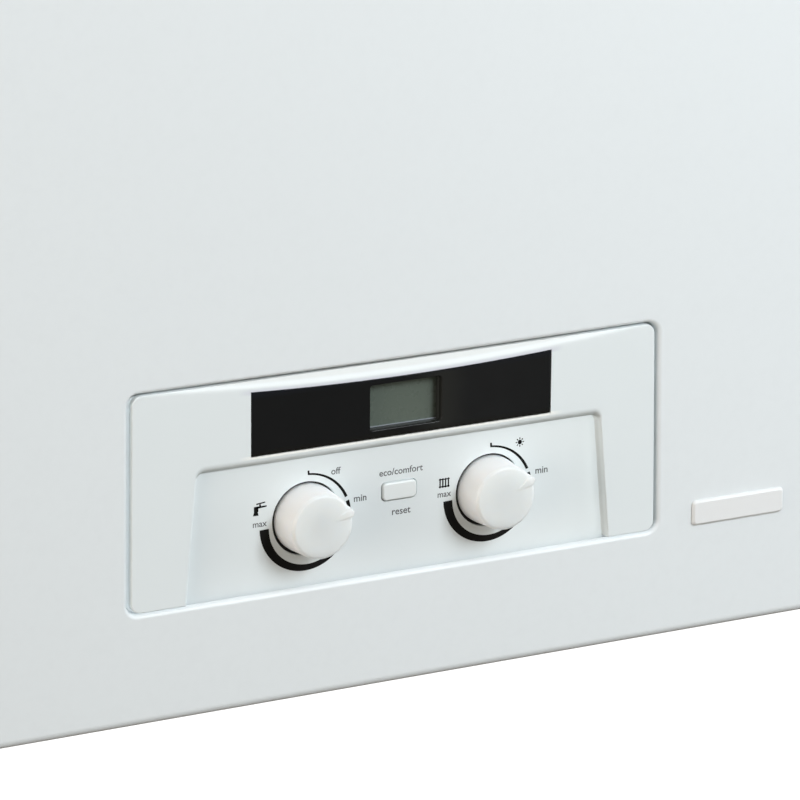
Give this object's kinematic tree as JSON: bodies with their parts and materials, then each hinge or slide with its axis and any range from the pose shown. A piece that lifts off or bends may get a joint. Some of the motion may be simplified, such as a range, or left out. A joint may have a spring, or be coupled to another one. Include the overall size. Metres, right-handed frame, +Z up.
{
  "type": "wall-hung gas combination boiler",
  "caption": "Wall-hung, room-sealed gas combi boiler: white folded steel casing, control panel with display strip, two knobs and a key, pipe tails below, flue collar on top.",
  "frame": {"origin": "centre of the hanging rail's back face, on the wall plane, 690 mm above the casing's lower edge", "axes": "+Z up, +Y into the wall, so the front faces -Y, and +X to the right of someone facing the front"},
  "size_m": [0.41, 0.32, 0.8373],
  "materials": {
    "casing_paint": "smooth powder coat, slightly cool white, satin",
    "fascia_plastic": "moulded white plastic, fine satin texture, printed dark scales",
    "knob_plastic": "moulded white plastic, satin",
    "badge_plastic": "moulded white plastic, bare",
    "strip_lens": "black gloss lens",
    "lcd_glass": "grey-green display glass, switched off",
    "galvanised_steel": "galvanised sheet with faint spangle",
    "stainless_steel": "brushed stainless",
    "screw_steel": "zinc plated",
    "copper": "drawn copper, lightly tarnished",
    "brass": "machined and cast brass",
    "aluminium": "cast aluminium, satin",
    "black_plastic": "moulded black plastic",
    "grey_plastic": "moulded grey plastic",
    "circuit_board": "green circuit board with components",
    "red_plastic": "moulded red plastic",
    "blue_plastic": "moulded blue plastic",
    "vessel_red": "red stoved paint",
    "motor_casting": "dark grey painted casting",
    "ceramic": "ceramic fibre board and glazed ceramic",
    "sight_glass": "clear heat-resistant glass"
  },
  "bodies": {
    "chassis": {"wall_bracket": "galvanised_steel", "back_frame": "galvanised_steel", "side_panel_left": "casing_paint", "side_panel_right": "casing_paint", "top_plate": "galvanised_steel", "bottom_plate": "galvanised_steel", "panel_fascia": "fascia_plastic", "display_strip": "strip_lens", "lcd_module": "lcd_glass", "dhw_potentiometer": "aluminium", "heating_potentiometer": "aluminium", "circuit_board": "circuit_board", "control_box": "grey_plastic", "control_box_lid": "grey_plastic", "cable_gland": "black_plastic", "sealed_chamber": "galvanised_steel", "chamber_cover": "galvanised_steel", "sight_glass": "sight_glass", "combustion_chamber": "ceramic", "burner": "stainless_steel", "gas_manifold": "aluminium", "ignition_electrode": "ceramic", "heat_exchanger": "copper", "flue_hood": "galvanised_steel", "fan_housing": "aluminium", "fan_motor": "black_plastic", "air_pressure_switch": "black_plastic", "flue_turret": "casing_paint", "air_inlet_cap_left": "casing_paint", "air_inlet_cap_right": "casing_paint", "expansion_vessel": "vessel_red", "vessel_pipe": "copper", "pump_body": "brass", "pump_motor": "motor_casting", "return_pipe": "copper", "flow_pipe": "copper", "three_way_valve": "brass", "valve_actuator": "black_plastic", "plate_heat_exchanger": "stainless_steel", "cold_water_block": "brass", "hot_water_pipe": "copper", "gas_pipe_lower": "stainless_steel", "gas_valve": "aluminium", "gas_pipe_upper": "copper", "relief_valve": "brass"},
    "cover": {"front_cover": "casing_paint", "badge_plate": "badge_plastic", "cover_screw_left": "screw_steel", "cover_screw_right": "screw_steel"},
    "dhw_control": {"dhw_knob": "knob_plastic", "dhw_knob_shaft": "aluminium"},
    "heating_control": {"heating_knob": "knob_plastic", "heating_knob_shaft": "aluminium"},
    "mode_key": {"mode_button": "knob_plastic"},
    "fan_wheel": {"fan_impeller": "aluminium"},
    "pump_wheel": {"pump_impeller": "black_plastic"},
    "diverter": {"valve_plunger": "stainless_steel"},
    "filling_handle": {"filling_tap_knob": "blue_plastic"},
    "relief_handle": {"relief_valve_knob": "red_plastic"},
    "vent_screw": {"air_vent_cap": "black_plastic"}
  },
  "joints": [
    {"name": "cover_slide", "type": "slide", "parent": "chassis", "child": "cover", "axis": [0, -1, 0], "range_m": [0, 0.35]},
    {"name": "dhw_knob_turn", "type": "hinge", "parent": "chassis", "child": "dhw_control", "pos_m": [-0.0405, -0.3054, -0.6147], "axis": [0, -1, 0], "range_deg": [-199, 76]},
    {"name": "heating_knob_turn", "type": "hinge", "parent": "chassis", "child": "heating_control", "pos_m": [0.0443, -0.3054, -0.6147], "axis": [0, -1, 0], "range_deg": [-207, 68]},
    {"name": "mode_button_press", "type": "slide", "parent": "chassis", "child": "mode_key", "axis": [0, 1, 0], "range_m": [0, 0.0015], "stiffness_N_per_m": 300},
    {"name": "fan_spin", "type": "hinge", "parent": "chassis", "child": "fan_wheel", "pos_m": [0, -0.178, -0.026], "axis": [0, -1, 0], "continuous": true},
    {"name": "pump_spin", "type": "hinge", "parent": "chassis", "child": "pump_wheel", "pos_m": [0.13, -0.128, -0.59], "axis": [0, -1, 0], "continuous": true},
    {"name": "diverter_shift", "type": "slide", "parent": "chassis", "child": "diverter", "axis": [0, 0, 1], "range_m": [0, 0.008]},
    {"name": "filling_tap_turn", "type": "hinge", "parent": "chassis", "child": "filling_handle", "pos_m": [0.0975, -0.075, -0.6943], "axis": [0, 0, -1], "range_deg": [0, 270]},
    {"name": "relief_valve_turn", "type": "hinge", "parent": "chassis", "child": "relief_handle", "pos_m": [0.178, -0.0824, -0.642], "axis": [0, -1, 0], "range_deg": [0, 90]},
    {"name": "vent_cap_turn", "type": "hinge", "parent": "chassis", "child": "vent_screw", "pos_m": [0.168, -0.124, -0.5037], "axis": [0, 0, 1], "range_deg": [0, 340]}
  ]
}
